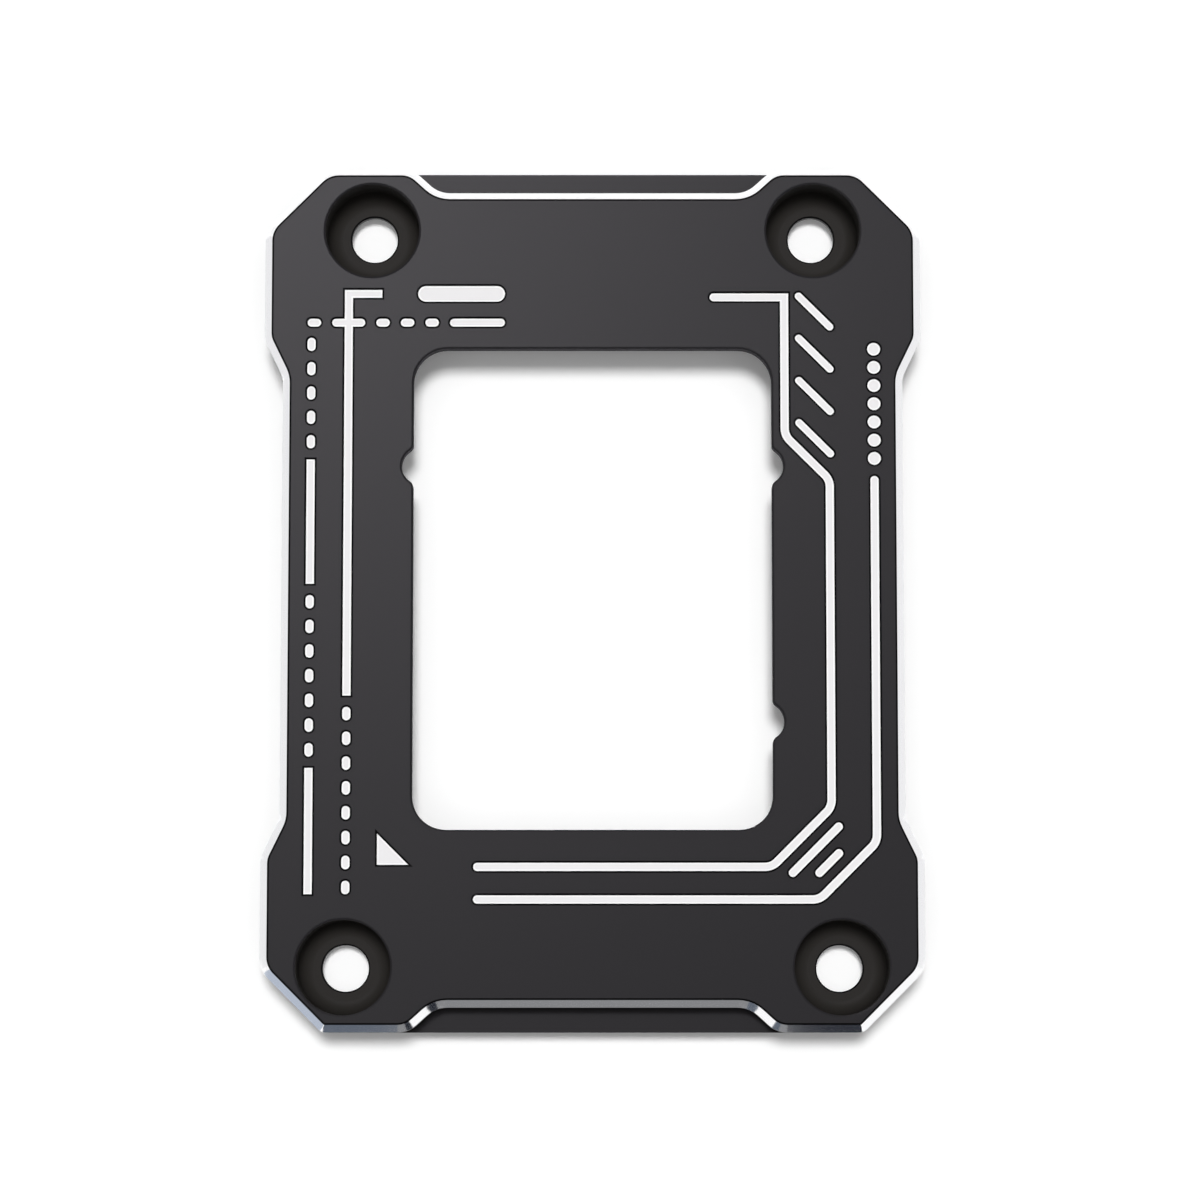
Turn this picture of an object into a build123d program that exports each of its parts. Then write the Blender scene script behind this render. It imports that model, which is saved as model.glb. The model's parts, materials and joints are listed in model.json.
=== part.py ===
from build123d import *
from math import sqrt
import os

# Retention frame for a flat processor socket, all sizes in millimetres.
# It is one milled aluminium plate with a window. Four screws, whose heads stand in deep round
# recesses, pull it down on to the board, and the thin lip round its window presses on the flange
# of the processor's lid.
# The origin is the centre of the underside: +X is across, +Y along, +Z towards the screw heads.

# Plate
FRAME_WIDTH = 54.0
FRAME_LENGTH = 71.0
FRAME_THICKNESS = 6.0
TOP_CHAMFER = 0.6

# Corner lobes, and the waist that narrows the plate between them
CORNER_CUT = 5.04
CORNER_ROUND = 2.5
LOWER_END_ROUND = 0.8
UPPER_LOBE_LENGTH = 14.27
LOWER_LOBE_LENGTH = 14.15
WAIST_DEPTH = 1.53
WAIST_RUN = 3.15
WAIST_ROUND = 2.2

# Window, given by the bars of plate that are left round it
SIDE_BAR = 12.3
UPPER_BAR = 15.1
LOWER_BAR = 16.36
WINDOW_CORNER = 2.8

# Half-round notches in the long sides of the window, placed from its ends
NOTCH_RADIUS = 1.55
NOTCH_REACH = 0.95
NOTCH_ROUND = 0.6
UPPER_NOTCH_INSET = 9.7
LOWER_NOTCH_INSET = 8.85

# Screw recesses: the two at the lower end stand further apart than the two at the upper end
UPPER_SCREW_INSET = 8.84
LOWER_SCREW_INSET = 6.78
SCREW_END_INSET = 5.23
RECESS_DIAMETER = 7.75
RECESS_DEPTH = 4.2
SCREW_HOLE_DIAMETER = 3.8
SCREW_HOLE_LAND = 0.7

# Rebate milled into the top of each end, which leaves a ledge between the lobes
REBATE_SCREW_GAP = 3.26
REBATE_DEPTH = 2.0
REBATE_RUN = 2.2
REBATE_OUTER_ROUND = 2.3
REBATE_INNER_ROUND = 2.4
LEDGE_THICKNESS = 3.2

# Underside: a pocket over the socket body, and above it one for the processor, up to the lip
SOCKET_SIDE_WALL = 2.17
SOCKET_END_WALL = 1.5
SOCKET_POCKET_DEPTH = 3.2
SOCKET_POCKET_CORNER = 3.0
SIDE_LIP = 4.45
END_LIP = 3.15
PROCESSOR_POCKET_CORNER = 1.5
LIP_THICKNESS = 1.3

# Engraved lines on the top face
ENGRAVING_DEPTH = 0.12
LINE_WIDTH = 0.68
LINE_BEND = 1.4
DASH_GAP = 0.91
SHORT_DASH = 1.11
ROUND_DASH_LIMIT = 5.0

# Left half: the dashed row and columns, the hooked line and the wide bar
OUTER_TRACK_INSET = 3.9
TOP_ROW_GAP = 2.18
ROW_DASH = 2.72
ROW_END_DASH = 4.52
COLUMN_DROP = 5.22
HOOK_INSET = 6.95
HOOK_GAP = 4.58
HOOK_ARM = 2.75
HOOK_DASH_COUNT = 8
PILL_LENGTH = 7.15
PILL_WIDTH = 1.32

# Right half: the line that turns round the window, the outer line, and the dots above that one
TURN_LINE_WINDOW_GAP = 1.06
TURN_LINE_ARM = 5.8
TURN_LINE_ARM_GAP = 4.29
TURN_LINE_UPPER_RUN = 11.48
TURN_LINE_CUT = 4.86
TURN_LINE_DROP = 3.0
OUTER_LINE_CUT = 4.68
OUTER_LINE_DROP = 5.64
LINE_END_INSET = 5.35
DOT_DIAMETER = 1.07
DOT_PITCH = 1.51
DOT_COUNT = 7
DOTS_DROP = 0.03

# Slanted bars beside the turned line, bars across its lower corner, and the corner mark
SLANT_BAR_LENGTH = 4.23
SLANT_BAR_WIDTH = 0.62
SLANT_BAR_PITCH = 3.51
SLANT_BAR_COUNT = 4
SLANT_BAR_SIDE_GAP = 2.46
SLANT_BAR_DROP = 1.18
CORNER_BAR_SIDE_GAP = 0.57
CORNER_BAR_DROP = 0.48
TRIANGLE_LEG = 2.56
TRIANGLE_SIDE_GAP = 2.8
TRIANGLE_DROP = 2.84

# How far a cutting shape runs past the face that it opens
OVERCUT = 1.0

half_width = FRAME_WIDTH / 2
half_length = FRAME_LENGTH / 2
window_side = half_width - SIDE_BAR
window_top = half_length - UPPER_BAR
window_bottom = LOWER_BAR - half_length
window_width = 2 * window_side
window_length = window_top - window_bottom
window_centre = (window_top + window_bottom) / 2
upper_screw_x = half_width - UPPER_SCREW_INSET
lower_screw_x = half_width - LOWER_SCREW_INSET
screw_row_y = half_length - SCREW_END_INSET


def plate_outline(rebated):
    """Plan of the plate, with or without the rebates at its two ends."""
    waist_side = half_width - WAIST_DEPTH
    rebate_side = upper_screw_x - REBATE_SCREW_GAP
    rebate_floor = half_length - REBATE_DEPTH
    upper_rebate = [
        (rebate_side - REBATE_RUN, rebate_floor, REBATE_INNER_ROUND),
        (rebate_side, half_length, REBATE_OUTER_ROUND),
    ]
    side = [
        (half_width - CORNER_CUT, half_length, CORNER_ROUND),
        (half_width, half_length - CORNER_CUT, CORNER_ROUND),
        (half_width, half_length - UPPER_LOBE_LENGTH, WAIST_ROUND),
        (waist_side, half_length - UPPER_LOBE_LENGTH - WAIST_RUN, WAIST_ROUND),
        (waist_side, -half_length + LOWER_LOBE_LENGTH + WAIST_RUN, WAIST_ROUND),
        (half_width, -half_length + LOWER_LOBE_LENGTH, WAIST_ROUND),
        (half_width, -half_length + CORNER_CUT, CORNER_ROUND),
        (half_width - CORNER_CUT, -half_length, LOWER_END_ROUND),
    ]
    lower_rebate = [(x, -y, radius) for x, y, radius in reversed(upper_rebate)]
    right = upper_rebate + side + lower_rebate if rebated else side
    left = [(-x, y, radius) for x, y, radius in reversed(right)]
    corners = right + left
    path = FilletPolyline(
        *[(x, y) for x, y, radius in corners],
        radius=[radius for x, y, radius in corners],
        close=True,
    )
    return make_face(path)


def plate_blank():
    """Solid plate with its ledges and its chamfered top outline."""
    base = extrude(plate_outline(rebated=False), amount=LEDGE_THICKNESS)
    raised = extrude(plate_outline(rebated=True), amount=FRAME_THICKNESS)
    top_outline = raised.faces().sort_by(Axis.Z)[-1].outer_wire().edges()
    return base + chamfer(top_outline, TOP_CHAMFER)


def screw_recess():
    """What is cut away for one screw: a round well, and a hole that a cone widens from below.

    The cone leaves room for the threaded post of the board that the screw turns into.
    """
    hole_radius = SCREW_HOLE_DIAMETER / 2
    well_radius = RECESS_DIAMETER / 2
    floor_z = FRAME_THICKNESS - RECESS_DEPTH
    land_z = floor_z - SCREW_HOLE_LAND
    top_z = FRAME_THICKNESS + OVERCUT
    half_section = Polyline(
        (0, -OVERCUT),
        (hole_radius + land_z + OVERCUT, -OVERCUT),
        (hole_radius, land_z),
        (hole_radius, floor_z),
        (well_radius, floor_z),
        (well_radius, top_z),
        (0, top_z),
        close=True,
    )
    return revolve(Plane.XZ * make_face(half_section), Axis.Z)


def screw_places():
    """Centres of the four screws, a pair at each end."""
    return [
        (side * x, y)
        for x, y in ((upper_screw_x, screw_row_y), (lower_screw_x, -screw_row_y))
        for side in (-1, 1)
    ]


def window_outline():
    """Plan of the window: a rounded rectangle with three notches blended into its long sides."""
    notch_x = window_side + NOTCH_REACH - NOTCH_RADIUS
    notches = [
        (-notch_x, window_top - UPPER_NOTCH_INSET),
        (notch_x, window_top - UPPER_NOTCH_INSET),
        (notch_x, window_bottom + LOWER_NOTCH_INSET),
    ]
    outline = Pos(0, window_centre) * RectangleRounded(window_width, window_length, WINDOW_CORNER)
    for place in notches:
        outline += Pos(*place) * Circle(NOTCH_RADIUS)
    mouths = [
        vertex
        for vertex in outline.vertices()
        for x, y in notches
        if Vector(vertex.X - x, vertex.Y - y).length < NOTCH_RADIUS * 1.01
        and abs(vertex.X) < window_side * 1.001
    ]
    return fillet(mouths, NOTCH_ROUND)


def underside_pockets():
    """What is cut away below the lip for the socket body and for the processor on it."""
    socket_top = screw_row_y - RECESS_DIAMETER / 2 - SOCKET_END_WALL
    socket = RectangleRounded(
        FRAME_WIDTH - 2 * (WAIST_DEPTH + SOCKET_SIDE_WALL),
        2 * (socket_top - window_centre),
        SOCKET_POCKET_CORNER,
    )
    processor = RectangleRounded(
        window_width + 2 * SIDE_LIP,
        window_length + 2 * END_LIP,
        PROCESSOR_POCKET_CORNER,
    )
    below = Pos(0, window_centre, -OVERCUT)
    lip_underside = FRAME_THICKNESS - LIP_THICKNESS
    return extrude(below * socket, amount=SOCKET_POCKET_DEPTH + OVERCUT) + extrude(
        below * processor, amount=lip_underside + OVERCUT
    )


def dash(length):
    """One dash along X: round at its ends if it is short, square if it is long."""
    if length > ROUND_DASH_LIMIT:
        return Rectangle(length, LINE_WIDTH)
    return SlotOverall(length, LINE_WIDTH)


def dashed_line(start, angle, lengths):
    """Dashes of these lengths in a row, a constant gap apart, from start along angle."""
    marks = []
    travelled = 0.0
    for length in lengths:
        marks.append(Pos(*start) * Rot(0, 0, angle) * Pos(travelled + length / 2, 0) * dash(length))
        travelled += length + DASH_GAP
    return marks


def stroke(points, bends, round_ends):
    """A continuous line through the points, with a round cap on each of the ends named."""
    path = FilletPolyline(*points, radius=bends)
    return [trace(path, LINE_WIDTH)] + [Pos(*end) * Circle(LINE_WIDTH / 2) for end in round_ends]


def left_tracks():
    """The dashed row and columns, the hooked line and the wide bar on the left half.

    Both columns end at the same height: the long dashes of the first one and the hooked line
    above the second one take up what is left.
    """
    outer_x = OUTER_TRACK_INSET - half_width
    hook_x = HOOK_INSET - half_width
    row_y = window_top + TOP_ROW_GAP
    arm_y = window_top + HOOK_GAP
    row = [SHORT_DASH, ROW_DASH] + [SHORT_DASH] * 3 + [ROW_END_DASH]
    row_start_x = outer_x - LINE_WIDTH / 2
    row_end_x = row_start_x + sum(row) + DASH_GAP * (len(row) - 1)
    column_start_y = row_y - LINE_WIDTH / 2 - DASH_GAP
    column_end_y = window_bottom - COLUMN_DROP
    upper_dots = [SHORT_DASH] * 5
    lower_dots = [SHORT_DASH] * 7
    taken = sum(upper_dots + lower_dots) + DASH_GAP * (len(upper_dots + lower_dots) + 1)
    long_dash = (column_start_y - column_end_y - taken) / 2
    column = upper_dots + [long_dash] + lower_dots + [long_dash]
    hook_end_y = column_end_y + HOOK_DASH_COUNT * (SHORT_DASH + DASH_GAP)
    hook = [(hook_x + HOOK_ARM, arm_y), (hook_x, arm_y), (hook_x, hook_end_y)]
    marks = dashed_line((row_start_x, row_y), 0, row)
    marks += dashed_line((outer_x, column_start_y), -90, column)
    marks += dashed_line((hook_x, hook_end_y - DASH_GAP), -90, [SHORT_DASH] * HOOK_DASH_COUNT)
    marks += stroke(hook, bends=0, round_ends=[])
    marks.append(Pos(row_end_x - PILL_LENGTH / 2, arm_y) * SlotOverall(PILL_LENGTH, PILL_WIDTH))
    return marks


def slanted_bars(line_x, arm_y):
    """Bars that fall at 45 degrees beside the upper run of the turned line."""
    bar = Rot(0, 0, -45) * SlotOverall(SLANT_BAR_LENGTH, SLANT_BAR_WIDTH)
    first = Pos(line_x + SLANT_BAR_SIDE_GAP, arm_y - SLANT_BAR_DROP)
    return [first * Pos(0, -index * SLANT_BAR_PITCH) * bar for index in range(SLANT_BAR_COUNT)]


def corner_bars(turn_offset, outer_offset, side_x, low_y):
    """Two bars evenly between the diagonals x - y = offset, from side_x down to low_y."""
    marks = []
    for share in (1 / 3, 2 / 3):
        offset = turn_offset + (outer_offset - turn_offset) * share
        run = side_x - (low_y + offset)
        middle = Pos(side_x - run / 2, low_y + run / 2)
        marks.append(middle * Rot(0, 0, 45) * SlotCenterToCenter(run * sqrt(2), LINE_WIDTH))
    return marks


def right_tracks():
    """The two lines that turn round the window, with the bars and dots beside them.

    The lower run of the turned line stands midway between its upper run and the outer line.
    """
    outer_x = half_width - OUTER_TRACK_INSET
    upper_x = window_side + TURN_LINE_WINDOW_GAP
    lower_x = (upper_x + outer_x) / 2
    arm_y = window_top + TURN_LINE_ARM_GAP
    jog_y = arm_y - TURN_LINE_UPPER_RUN
    turn_y = window_bottom - TURN_LINE_DROP
    outer_y = window_bottom - OUTER_LINE_DROP
    end_x = LINE_END_INSET - window_side
    dots_y = window_top - DOTS_DROP
    dots_end_y = dots_y - (DOT_COUNT - 1) * DOT_PITCH - DOT_DIAMETER / 2
    turn_line = [
        (upper_x - TURN_LINE_ARM, arm_y),
        (upper_x, arm_y),
        (upper_x, jog_y),
        (lower_x, jog_y - (lower_x - upper_x)),
        (lower_x, turn_y + TURN_LINE_CUT),
        (lower_x - TURN_LINE_CUT, turn_y),
        (end_x, turn_y),
    ]
    outer_line = [
        (outer_x, dots_end_y - DASH_GAP - LINE_WIDTH / 2),
        (outer_x, outer_y + OUTER_LINE_CUT),
        (outer_x - OUTER_LINE_CUT, outer_y),
        (end_x, outer_y),
    ]
    bend = LINE_BEND
    marks = stroke(turn_line, [0, bend, bend, bend, bend], [turn_line[0], turn_line[-1]])
    marks += stroke(outer_line, bend, [outer_line[0], outer_line[-1]])
    marks += slanted_bars(upper_x, arm_y)
    marks += corner_bars(
        turn_offset=lower_x - turn_y - TURN_LINE_CUT,
        outer_offset=outer_x - outer_y - OUTER_LINE_CUT,
        side_x=lower_x + CORNER_BAR_SIDE_GAP,
        low_y=turn_y - CORNER_BAR_DROP,
    )
    for index in range(DOT_COUNT):
        marks.append(Pos(outer_x, dots_y - index * DOT_PITCH) * Circle(DOT_DIAMETER / 2))
    return marks


def corner_mark():
    """Small triangle that shows which corner of the processor goes here."""
    x = -window_side - TRIANGLE_SIDE_GAP
    y = window_bottom - TRIANGLE_DROP
    corners = [(x, y), (x + TRIANGLE_LEG, y), (x, y + TRIANGLE_LEG)]
    return [make_face(Polyline(*corners, close=True))]


def engraving():
    """Everything that is cut into the top face, as one flat shape."""
    return Sketch() + left_tracks() + right_tracks() + corner_mark()


def retention_frame():
    body = plate_blank()
    for x, y in screw_places():
        body -= Pos(x, y) * screw_recess()
    body -= extrude(Pos(0, 0, -OVERCUT) * window_outline(), amount=FRAME_THICKNESS + 2 * OVERCUT)
    body -= underside_pockets()
    body -= extrude(Pos(0, 0, FRAME_THICKNESS - ENGRAVING_DEPTH) * engraving(), amount=OVERCUT)
    return body


os.makedirs("parts", exist_ok=True)
export_step(retention_frame(), "parts/retention_frame.step")
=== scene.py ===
# %% [markdown]
# # A retention frame for a processor socket
#
# The object is a flat aluminium plate, 54 by 71 mm and 6 mm thick, with a window for the
# processor and a deep recess for a screw in each corner. CAD has made its shape. This script
# gives it the look of the real thing: blasted and anodised black, with a diamond-cut edge that
# shows the bare metal, and white lines in the bottom of shallow engraved grooves.

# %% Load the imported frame
import json
import math

import bmesh
import bpy
from mathutils import Matrix, Vector


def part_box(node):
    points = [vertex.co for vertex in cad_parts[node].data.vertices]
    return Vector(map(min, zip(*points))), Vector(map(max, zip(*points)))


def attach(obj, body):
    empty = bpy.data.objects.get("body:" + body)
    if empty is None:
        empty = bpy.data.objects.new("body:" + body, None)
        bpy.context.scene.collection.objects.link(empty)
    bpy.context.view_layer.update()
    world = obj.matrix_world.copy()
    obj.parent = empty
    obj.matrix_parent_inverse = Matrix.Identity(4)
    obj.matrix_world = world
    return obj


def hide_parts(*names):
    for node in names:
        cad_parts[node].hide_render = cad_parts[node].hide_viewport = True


MM = 0.001

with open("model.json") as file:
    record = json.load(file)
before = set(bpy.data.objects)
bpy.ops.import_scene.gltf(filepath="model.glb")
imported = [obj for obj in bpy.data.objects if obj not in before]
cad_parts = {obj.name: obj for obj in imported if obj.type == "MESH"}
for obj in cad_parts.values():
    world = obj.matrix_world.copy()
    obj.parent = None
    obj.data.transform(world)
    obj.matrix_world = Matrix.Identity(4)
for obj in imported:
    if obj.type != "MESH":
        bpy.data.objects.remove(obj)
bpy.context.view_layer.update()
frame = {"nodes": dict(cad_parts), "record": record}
plate_low, plate_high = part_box("retention_frame")
TOP_Z = plate_high.z / MM
print("plate in mm:", [round(side / MM, 2) for side in plate_high - plate_low])

# %% [markdown]
# ## The plate's mesh
#
# The plate arrives as loose triangles. To work on it, a copy is merged at its doubled points.
# The CAD mesh itself stays as it is, and the copy stands for it.

# %% Merge a copy of the plate
SAME_POINT = 0.001 * MM
SAME_RIM_POINT = 0.005 * MM

plate_mesh = frame["nodes"]["retention_frame"].data.copy()
plate_mesh.name = "machined_plate"
plate_mesh.materials.clear()
plate = bmesh.new()
plate.from_mesh(plate_mesh)
bmesh.ops.remove_doubles(plate, verts=plate.verts, dist=SAME_POINT)
print("merged plate:", len(plate.faces), "faces")

# %% [markdown]
# ## Screw recesses
#
# The wall of each recess runs into its floor in a curve, as a round-nosed cutter leaves it. The
# CAD solid has a square corner there. Its wall and floor are deleted, and a new wall is
# spun with as many steps as the rim has points, so that it joins the top face point by point.
# A level ring then closes the floor up to the screw hole.

# %% Spin the four recesses
RECESS_RADIUS = 3.875
CORNER_RADIUS = 1.2
CORNER_STEPS = 10
HOLE_EDGE_RADIUS = 0.12
TOLERANCE = 0.01

screw_places = []
for mount in frame["record"]["mounts"]:
    if mount["kind"] == "bolt_pattern":
        middle = Vector(mount["pos_m"]) / MM
        for side in (-0.5, 0.5):
            screw_places.append(middle + Vector((side * mount["dims"]["spacing_x_mm"], 0, 0)))
        hole_radius = mount["dims"]["hole_r_mm"]
floor_z = screw_places[0].z

section = [(RECESS_RADIUS, TOP_Z)]
for step in range(CORNER_STEPS + 1):
    turn = math.pi / 2 * step / CORNER_STEPS
    r = RECESS_RADIUS - CORNER_RADIUS * (1 - math.cos(turn))
    z = floor_z + CORNER_RADIUS * (1 - math.sin(turn))
    section.append((r, z))


def away_from(place, co):
    """Distance in plan from a place in millimetres to a point in metres."""
    return (co / MM - place).xy.length


def is_at(co, place, radius, height):
    """Whether a point lies on the level circle of this radius round the place."""
    level = abs(co.z / MM - height) < TOLERANCE
    return level and abs(away_from(place, co) - radius) < TOLERANCE


def edges_at(place, radius, height):
    """The edges of the level circle of this radius round the place."""
    return [
        edge
        for edge in plate.edges
        if all(is_at(vert.co, place, radius, height) for vert in edge.verts)
    ]


for place in screw_places:
    old = []
    for face in plate.faces:
        inside = all(away_from(place, v.co) < RECESS_RADIUS + TOLERANCE for v in face.verts)
        if inside and all(v.co.z / MM > floor_z - TOLERANCE for v in face.verts):
            old.append(face)
    bmesh.ops.delete(plate, geom=old, context="FACES")
    rim = {v for edge in edges_at(place, RECESS_RADIUS, TOP_Z) for v in edge.verts}
    # A set has no order of its own, so the spin starts at a point that every run finds.
    start = max(rim, key=lambda vert: (vert.co.x, vert.co.y))
    outward = (start.co / MM - place).xy.normalized().to_3d()
    axis_foot = Vector((place.x, place.y, 0.0))
    chain = [plate.verts.new((axis_foot + outward * r + Vector((0, 0, z))) * MM) for r, z in section]
    links = [plate.edges.new(pair) for pair in zip(chain, chain[1:])]
    bmesh.ops.spin(
        plate,
        geom=chain + links,
        cent=axis_foot * MM,
        axis=(0.0, 0.0, 1.0),
        angle=math.tau,
        steps=len(rim),
        use_merge=True,
    )
    floor_edges = edges_at(place, section[-1][0], floor_z) + edges_at(place, hole_radius, floor_z)
    bmesh.ops.triangle_fill(plate, edges=floor_edges, use_beauty=True)

bmesh.ops.remove_doubles(plate, verts=plate.verts, dist=SAME_RIM_POINT)
bmesh.ops.recalc_face_normals(plate, faces=plate.faces)
bmesh.ops.bevel(
    plate,
    geom=[edge for place in screw_places for edge in edges_at(place, hole_radius, floor_z)],
    offset=HOLE_EDGE_RADIUS * MM,
    offset_type="OFFSET",
    affect="EDGES",
    segments=3,
    profile=0.5,
    material=-1,
)
print("plate with spun recesses:", len(plate.faces), "faces, each rim of", len(rim), "points")
print("open edges:", sum(not edge.is_manifold for edge in plate.edges))

# %% [markdown]
# ## Finishes, face by face
#
# The finish of most faces follows from how it was made. The sloped faces of the top chamfer are
# cut after the anodising, so they are bright. The bottoms of the engraved grooves are white.
# The recesses are bored, and their black is painted lighter, as painted light. The edge of each
# screw hole is a dark line of painted shade. The window's own wall is milled, and its black is
# painted lighter, as painted light. Everything else is blasted and anodised. Height, slope and
# place tell these faces apart.

# %% Sort the faces by finish
# Three of these finishes paint light: a dark line of painted shade beside the cuts and round the
# screw holes, a brighter white along the grooves' sides as a painted highlight, and a lighter black
# as painted light in the recesses and on the window's wall.
ANODISED, DIAMOND_CUT, LINE_WHITE, EDGE_PAINTED_SHADE, BORED_PAINTED_LIGHT, LINE_EDGE_HIGHLIGHT, MILLED_PAINTED_LIGHT = range(7)
CHAMFER = 0.6
ENGRAVING_DEPTH = 0.12
LIP_Z = next(m["pos_m"][2] for m in frame["record"]["mounts"] if m["name"] == "clamping_lip") / MM
FACES_UP = 0.99
CHAMFER_SLOPE = (0.3, 0.95)
UPRIGHT = 0.1


def lowest(face):
    """Height of a face's lowest point, in millimetres."""
    return min(vert.co.z for vert in face.verts) / MM


def in_a_recess(face):
    """Whether a face belongs to the surface that was bored for a screw's head."""
    low = floor_z - HOLE_EDGE_RADIUS - TOLERANCE
    bored = RECESS_RADIUS + TOLERANCE
    return lowest(face) > low and any(
        all(away_from(place, vert.co) < bored for vert in face.verts) for place in screw_places
    )


def finish_of(face):
    """The finish of a face, from its place, its height and its slope."""
    slope = face.normal.z
    if slope > FACES_UP and abs(lowest(face) - (TOP_Z - ENGRAVING_DEPTH)) < TOLERANCE:
        return LINE_WHITE
    if CHAMFER_SLOPE[0] < slope < CHAMFER_SLOPE[1] and lowest(face) > TOP_Z - CHAMFER - TOLERANCE:
        return DIAMOND_CUT
    # The recesses get a black painted lighter, as painted light.
    if in_a_recess(face):
        # The rounded edge of the screw hole gets the dark line of painted shade.
        return EDGE_PAINTED_SHADE if lowest(face) < floor_z - TOLERANCE else BORED_PAINTED_LIGHT
    # The window's wall gets a black painted lighter, as painted light.
    if abs(slope) < UPRIGHT and abs(lowest(face) - LIP_Z) < TOLERANCE:
        return MILLED_PAINTED_LIGHT
    return ANODISED


plate.normal_update()
for face in plate.faces:
    face.material_index = finish_of(face)
print("diamond-cut faces:", sum(face.material_index == DIAMOND_CUT for face in plate.faces))
print("white groove bottoms:", sum(face.material_index == LINE_WHITE for face in plate.faces))

# %% [markdown]
# ## Broken edges
#
# No edge of a blasted part is sharp. The top face, the underside and the two ceilings under the
# plate get a narrow band along their borders, by an inset, and where the surface falls away
# behind the border, the band's outer side is lowered a little. On the top face, the band beside
# the bright chamfer or a groove is a deeper black, painted shade which gives those cuts their
# fine dark border. The groove bottoms get a level band, which carries a brighter white along
# their sides, a painted highlight.

# %% Break the edges
TOP_BAND = 0.15
TOP_DROP = 0.04
LINE_BAND = 0.14
HIDDEN_BAND = 0.1
HIDDEN_DROP = 0.1


def flat_faces(height, direction):
    """Level faces at this height in millimetres that look up (1) or down (-1)."""
    return [
        face
        for face in plate.faces
        if face.normal.z * direction > FACES_UP
        and all(abs(vert.co.z / MM - height) < TOLERANCE for vert in face.verts)
    ]


def break_edges(height, direction, band, drop):
    """Insets a band along the border of a flat area, and lowers its outer side at outer edges."""
    area = flat_faces(height, direction)
    ring = bmesh.ops.inset_region(
        plate, faces=area, thickness=band * MM, use_even_offset=True, use_boundary=True
    )["faces"]
    kept = set(area)
    outer = {vert for face in ring for vert in face.verts if kept.isdisjoint(vert.link_faces)}
    plate.normal_update()
    turned = []
    for vert in outer:
        border = [edge for edge in vert.link_edges if set(edge.verts) <= outer]
        if all(edge.is_convex for edge in border):
            turned.append(vert)
    bmesh.ops.translate(plate, verts=turned, vec=(0, 0, -direction * drop * MM))
    print("flat area at", round(height, 2), "mm:", len(area), "faces, band of", len(ring))
    return ring


SOCKET_CEILING_Z = 3.2

top_ring = break_edges(TOP_Z, 1, TOP_BAND, TOP_DROP)
break_edges(0.0, -1, HIDDEN_BAND, HIDDEN_DROP)
break_edges(SOCKET_CEILING_Z, -1, HIDDEN_BAND, HIDDEN_DROP)
break_edges(LIP_Z, -1, HIDDEN_BAND, HIDDEN_DROP)

# The band inset along the groove bottoms carries a brighter white, a painted highlight.
line_highlight_ring = break_edges(TOP_Z - ENGRAVING_DEPTH, 1, LINE_BAND, 0.0)
for face in line_highlight_ring:
    face.material_index = LINE_EDGE_HIGHLIGHT
# Beside the chamfer and the grooves the band gets the dark line of painted shade; beside the recesses
# and the window's wall it stays anodised.
for face in top_ring:
    beside = {other.material_index for vert in face.verts for other in vert.link_faces}
    face.material_index = EDGE_PAINTED_SHADE if beside.isdisjoint((BORED_PAINTED_LIGHT, MILLED_PAINTED_LIGHT)) else ANODISED

# %% [markdown]
# ## Shading
#
# The level faces are cut off from the rest by sharp edges, so they stay perfectly flat. Curved
# faces are shaded smooth up to an angle of 30 degrees. The Weighted Normal modifier lets the
# large faces keep their own direction, so that a straight edge reflects evenly up to where its
# corner starts to turn.

# %% Put the plate in the scene
FLAT_ANGLE = math.radians(0.5)
SMOOTH_ANGLE = math.radians(30)
LEVEL = 0.999

plate.normal_update()
steep_edges = [e for e in plate.edges if all(abs(f.normal.z) < LEVEL for f in e.link_faces)]
bmesh.ops.dissolve_limit(plate, angle_limit=FLAT_ANGLE, verts=[], edges=steep_edges)
for face in plate.faces:
    face.smooth = True
for edge in plate.edges:
    level = any(abs(face.normal.z) > LEVEL for face in edge.link_faces)
    edge.smooth = not level and edge.calc_face_angle(math.pi) < SMOOTH_ANGLE
plate.to_mesh(plate_mesh)
print("finished plate:", len(plate.faces), "faces")
plate.free()

machined_plate = bpy.data.objects.new("machined_plate", plate_mesh)
bpy.context.scene.collection.objects.link(machined_plate)
weighted = machined_plate.modifiers.new("Weighted Normal", "WEIGHTED_NORMAL")
weighted.keep_sharp = True
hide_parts("retention_frame")
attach(machined_plate, "root")

# %% [markdown]
# ## Materials
#
# Colours are written as the sRGB hex values that one would pick from a picture, and one
# function turns them into the linear numbers that the shaders use. Another small function
# adds a node, sets its sockets and links them.


# %% Helpers for colours and nodes
def linear(hex_colour):
    """An sRGB hex colour as linear red, green, blue and alpha."""
    channels = [int(hex_colour[i : i + 2], 16) / 255 for i in (0, 2, 4)]
    return [c / 12.92 if c <= 0.04045 else ((c + 0.055) / 1.055) ** 2.4 for c in channels] + [1.0]


def add_node(tree, kind, inputs=None, **settings):
    """Adds a node. An input takes a value, or the output socket that it is linked from."""
    node = tree.nodes.new(kind)
    for name, value in settings.items():
        setattr(node, name, value)
    for name, value in (inputs or {}).items():
        if isinstance(value, bpy.types.NodeSocket):
            tree.links.new(value, node.inputs[name])
        else:
            node.inputs[name].default_value = value
    return node


def new_material(name):
    """An empty node material and its node tree."""
    material = bpy.data.materials.new(name)
    material.use_nodes = True
    material.node_tree.nodes.clear()
    return material, material.node_tree


def seen_directly(tree):
    """1 for rays from the camera or from a mirror or glass, and 0 for rays that give light."""
    ray = add_node(tree, "ShaderNodeLightPath")
    seen = ray.outputs["Is Camera Ray"]
    for kind in ("Is Glossy Ray", "Is Transmission Ray"):
        either = {0: seen, 1: ray.outputs[kind]}
        seen = add_node(tree, "ShaderNodeMath", either, operation="MAXIMUM").outputs["Value"]
    return seen


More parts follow.
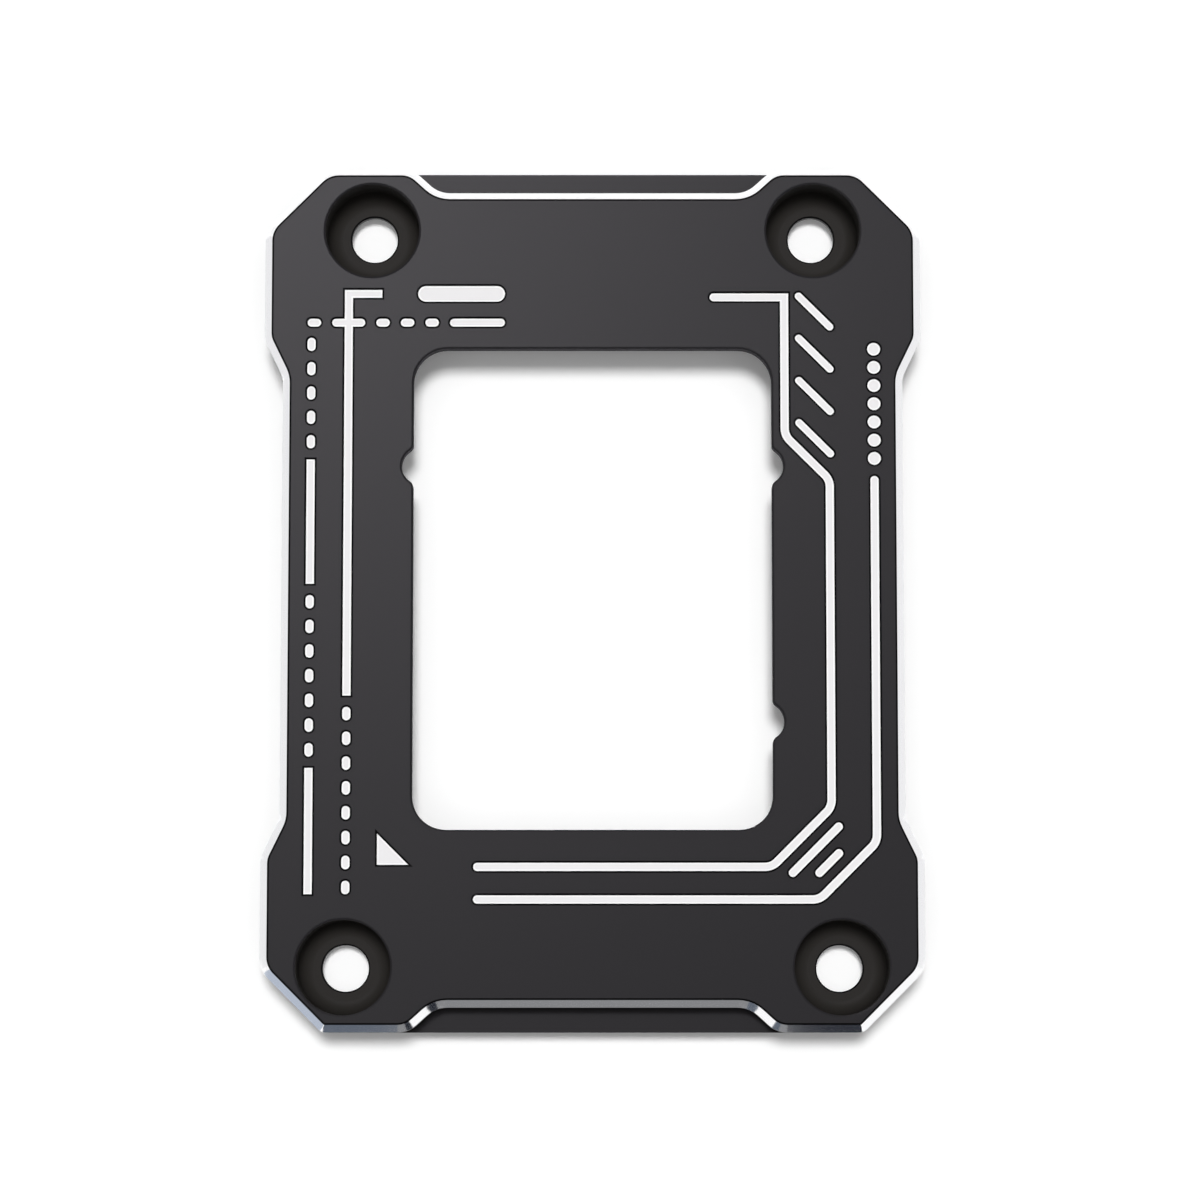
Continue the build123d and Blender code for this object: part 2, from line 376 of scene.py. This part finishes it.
# %% [markdown]
# ### Black anodised aluminium, bead-blasted
#
# Anodising grows a clear oxide on the metal, and a dye in it makes it black. The blasted
# surface under it scatters the light, so it is matt with a soft sheen, a little cooler than
# neutral. Its gloss is kept well below that of plastic or paint. The dimples of the blasting
# are drawn 0.12 mm wide, a little more than a pixel, and very shallow. The dye, the gloss and
# the roughness are fitted to the photograph under the lamps below.

# %% Black anodised aluminium
GRAIN = 0.12 * MM
DIMPLE_DEPTH = 0.01 * MM
DIMPLE_STRENGTH = 0.15
SHEEN_TINT = "FCF9FF"


def black_oxide(name, dye, specular, roughness):
    """A dyed oxide on a blasted or a turned surface. In the recesses the dye is painted lighter, as
    painted light.
    """
    material, tree = new_material(name)
    place = add_node(tree, "ShaderNodeTexCoord")
    grain = add_node(
        tree,
        "ShaderNodeTexNoise",
        {"Vector": place.outputs["Object"], "Scale": 1 / GRAIN, "Detail": 2.0, "Roughness": 0.5},
    )
    dimples = add_node(
        tree,
        "ShaderNodeBump",
        {"Strength": DIMPLE_STRENGTH, "Distance": DIMPLE_DEPTH, "Height": grain.outputs["Fac"]},
    )
    surface = add_node(
        tree,
        "ShaderNodeBsdfPrincipled",
        {
            "Base Color": linear(dye),
            "Roughness": roughness,
            "IOR": 1.5,
            "Specular IOR Level": specular,
            "Specular Tint": linear(SHEEN_TINT),
            "Normal": dimples.outputs["Normal"],
        },
    )
    add_node(tree, "ShaderNodeOutputMaterial", {"Surface": surface.outputs["BSDF"]})
    return material


black_anodised = black_oxide("black_anodised_aluminium", "212022", 0.06, 0.32)

# %% [markdown]
# ### Bored black oxide, painted lighter
#
# The recesses are bored, not blasted. The dye in them looks a little warmer and its sheen is
# duller and wider. Its tone is also painted lighter than the face's, as painted light on the
# recess walls, which get little light.

# %% Bored black oxide, painted lighter
# The lighter dye here is painted light for the recess walls.
bored_black_painted_light = black_oxide("bored_black_oxide_painted_light", "292725", 0.05, 0.5)

# %% [markdown]
# ### Painted shade along the cuts
#
# A plain black without the sheen, painted shade for the fine dark line beside the chamfer and
# the grooves and round each screw hole.

# %% Painted shade along the cuts
edge_painted_shade, tree = new_material("plain_black_painted_shade")
surface = add_node(
    tree,
    "ShaderNodeBsdfPrincipled",
    {"Base Color": linear("0A0A0B"), "Roughness": 0.7, "IOR": 1.5, "Specular IOR Level": 0.01},
)
add_node(tree, "ShaderNodeOutputMaterial", {"Surface": surface.outputs["BSDF"]})

# %% [markdown]
# ### Milled black oxide, painted lighter
#
# The wall of the window is matt, without a gleam at a glancing view. Little light reaches it,
# so its tone is painted lighter than the face's, as painted light, and from above it looks like
# a last strip of the dark face. This is fitted to the photograph, which shows the wall only
# edge-on.

# %% Milled black oxide, painted lighter
milled_black_painted_light, tree = new_material("milled_black_oxide_painted_light")
surface = add_node(
    tree,
    "ShaderNodeBsdfPrincipled",
    {"Base Color": linear("58575A"), "Roughness": 0.9, "Specular IOR Level": 0.0},
)
add_node(tree, "ShaderNodeOutputMaterial", {"Surface": surface.outputs["BSDF"]})

# %% [markdown]
# ### Diamond-cut aluminium
#
# A turning diamond leaves a surface that is close to a mirror. It shows what stands round the
# object, softened a little by the fine tool lines.

# %% Diamond-cut aluminium
diamond_cut, tree = new_material("diamond_cut_aluminium")
surface = add_node(
    tree,
    "ShaderNodeBsdfPrincipled",
    {"Base Color": linear("FAFAFB"), "Metallic": 1.0, "Roughness": 0.12},
)
add_node(tree, "ShaderNodeOutputMaterial", {"Surface": surface.outputs["BSDF"]})

# %% [markdown]
# ### White engraved lines
# The bottoms of the grooves are a satin white, as a laser leaves it. Along their sides the white
# is a little brighter, a painted highlight.

# %% White of the engraved lines
def laser_white(name, tone):
    """A matt white with the faintest gloss."""
    material, tree = new_material(name)
    surface = add_node(
        tree,
        "ShaderNodeBsdfPrincipled",
        {"Base Color": linear(tone), "Roughness": 0.7, "IOR": 1.5, "Specular IOR Level": 0.02},
    )
    add_node(tree, "ShaderNodeOutputMaterial", {"Surface": surface.outputs["BSDF"]})
    return material


line_white = laser_white("laser_white", "ECEBEC")
# A brighter white along the sides of the grooves, a painted highlight.
line_edge_highlight = laser_white("laser_white_painted_highlight", "FCFCFC")

finishes = [black_anodised, diamond_cut, line_white, edge_painted_shade, bored_black_painted_light, line_edge_highlight, milled_black_painted_light]
for material in finishes:
    machined_plate.data.materials.append(material)

# %% [markdown]
# ## The studio
#
# The frame lies on a white table. The table glows a little to the camera, which keeps it white
# without more light on the object. It lies a hair below the frame, so that the two never share
# a plane. It is solid from above only: from below it is clear and it casts no shadow, so that
# the underside shows and the lamp from below reaches it.

# %% Table
TABLE_GLOW = 0.1
TABLE_GAP = 0.02
TABLE_REACH = 2.0

table_mesh = bpy.data.meshes.new("table")
table_sheet = bmesh.new()
bmesh.ops.create_grid(table_sheet, x_segments=1, y_segments=1, size=TABLE_REACH)
bmesh.ops.translate(table_sheet, verts=table_sheet.verts, vec=(0.0, 0.0, -TABLE_GAP * MM))
table_sheet.to_mesh(table_mesh)
table_sheet.free()
table = bpy.data.objects.new("table", table_mesh)
bpy.context.scene.collection.objects.link(table)
table.visible_shadow = False

table_white, tree = new_material("white_table")
glow = add_node(
    tree, "ShaderNodeMath", {0: seen_directly(tree), 1: TABLE_GLOW}, operation="MULTIPLY"
)
surface = add_node(
    tree,
    "ShaderNodeBsdfPrincipled",
    {
        "Base Color": linear("FAFAFA"),
        "Roughness": 1.0,
        "Specular IOR Level": 0.0,
        "Emission Color": linear("FFFFFF"),
        "Emission Strength": glow.outputs["Value"],
    },
)
side = add_node(tree, "ShaderNodeNewGeometry")
clear = add_node(tree, "ShaderNodeBsdfTransparent")
one_sided = add_node(
    tree,
    "ShaderNodeMixShader",
    {0: side.outputs["Backfacing"], 1: surface.outputs["BSDF"], 2: clear.outputs["BSDF"]},
)
add_node(tree, "ShaderNodeOutputMaterial", {"Surface": one_sided.outputs["Shader"]})
table.data.materials.append(table_white)

# %% [markdown]
# A soft lamp hangs almost overhead, a little towards the far end, and throws a short shadow
# towards the viewer. It gives most of the light, so the shadow is deep close to the frame. A
# very wide lamp fills the shadows. A third one, to the left of the far end, only makes the
# sheen that fades over the black face from its far left corner to its near right one. A lamp
# from below lights the underside.

# %% Lamps
def add_lamp(name, share, spread, lean, turn):
    """A distant lamp that gives this share of the light on the table."""
    data = bpy.data.lights.new(name, "SUN")
    data.angle = math.radians(spread)
    data.energy = share * math.pi / abs(math.cos(math.radians(lean)))
    lamp = bpy.data.objects.new(name, data)
    lamp.rotation_euler = (-math.radians(lean), 0.0, math.radians(turn))
    bpy.context.scene.collection.objects.link(lamp)
    return lamp


key = add_lamp("key", share=0.68, spread=12.0, lean=9.5, turn=0.0)
key.visible_glossy = False
fill = add_lamp("fill", share=0.3, spread=80.0, lean=0.0, turn=0.0)
fill.visible_glossy = False
sheen = add_lamp("sheen", share=0.68, spread=10.0, lean=15.4, turn=23.9)
sheen.visible_diffuse = False
add_lamp("from_below", share=0.6, spread=60.0, lean=180.0, turn=0.0)

# %% White room
ROOM_SHARE = 0.04

world = bpy.data.worlds.new("white_room")
bpy.context.scene.world = world
world.use_nodes = True
tree = world.node_tree
tree.nodes.clear()
lighting = add_node(
    tree, "ShaderNodeBackground", {"Color": linear("FFFFFF"), "Strength": ROOM_SHARE}
)
backdrop = add_node(tree, "ShaderNodeBackground", {"Color": linear("FFFFFF"), "Strength": 1.0})
both = add_node(
    tree,
    "ShaderNodeMixShader",
    {0: seen_directly(tree), 1: lighting.outputs[0], 2: backdrop.outputs[0]},
)
add_node(tree, "ShaderNodeOutputWorld", {"Surface": both.outputs[0]})

# %% [markdown]
# Cards of different greys stand round the frame. The bright chamfers mirror them, as those of
# the real one mirror the room: dark on the viewer's side, and nearly white left and right. The
# cards only show in reflections.

# %% Cards
CARD_DISTANCE = 150.0
CARD_HEIGHT = 120.0


def add_card(name, tone, turn, first, last):
    """A glowing card, upright on a circle round the frame, seen only by reflections.

    The turn is counted from the viewer's side, clockwise in plan. First and last are the
    card's sides in millimetres, to the left and right of the line to the frame's middle.
    """
    mesh = bpy.data.meshes.new(name)
    sheet = bmesh.new()
    corners = [(first, 0.0), (last, 0.0), (last, CARD_HEIGHT), (first, CARD_HEIGHT)]
    sheet.faces.new([sheet.verts.new((x * MM, -CARD_DISTANCE * MM, z * MM)) for x, z in corners])
    around = Matrix.Rotation(-math.radians(turn), 3, "Z")
    bmesh.ops.rotate(sheet, verts=sheet.verts, matrix=around)
    sheet.to_mesh(mesh)
    sheet.free()
    card = bpy.data.objects.new(name, mesh)
    bpy.context.scene.collection.objects.link(card)
    card.visible_camera = False
    card.visible_diffuse = False
    card.visible_shadow = False
    material, tree = new_material(name)
    surface = add_node(tree, "ShaderNodeEmission", {"Color": linear(tone), "Strength": 1.0})
    add_node(tree, "ShaderNodeOutputMaterial", {"Surface": surface.outputs["Emission"]})
    mesh.materials.append(material)


add_card("front_card_left", "5C6470", turn=0.0, first=-60.0, last=-20.0)
add_card("front_card_middle", "868789", turn=0.0, first=-20.0, last=20.0)
add_card("front_card_right", "282B33", turn=0.0, first=20.0, last=60.0)
add_card("corner_card", "B4BDCB", turn=45.0, first=-30.0, last=30.0)
add_card("left_card", "EEEEEF", turn=90.0, first=-75.0, last=75.0)
add_card("right_card", "F2F2F3", turn=-90.0, first=-75.0, last=75.0)

# %% [markdown]
# ## Camera
#
# The photograph's perspective puts the camera almost straight above, 0.34 m away, with a long
# lens. It stands 37 mm towards the viewer, so it looks down at 6 degrees from the vertical.

# %% Camera
CAMERA_PLACE = Vector((0.61, -37.275, 348.44)) * MM
CAMERA_AIM = Vector((0.61, -0.375, 6.0)) * MM
LENS = 126.54

camera_data = bpy.data.cameras.new("camera")
camera_data.lens = LENS
camera_data.sensor_width = 36.0
camera_data.clip_start = 0.01
camera_data.clip_end = 20.0
camera = bpy.data.objects.new("camera", camera_data)
camera.location = CAMERA_PLACE
camera.rotation_euler = (CAMERA_AIM - CAMERA_PLACE).to_track_quat("-Z", "Y").to_euler()
bpy.context.scene.collection.objects.link(camera)
bpy.context.scene.camera = camera
bpy.context.scene.view_settings.view_transform = "Standard"
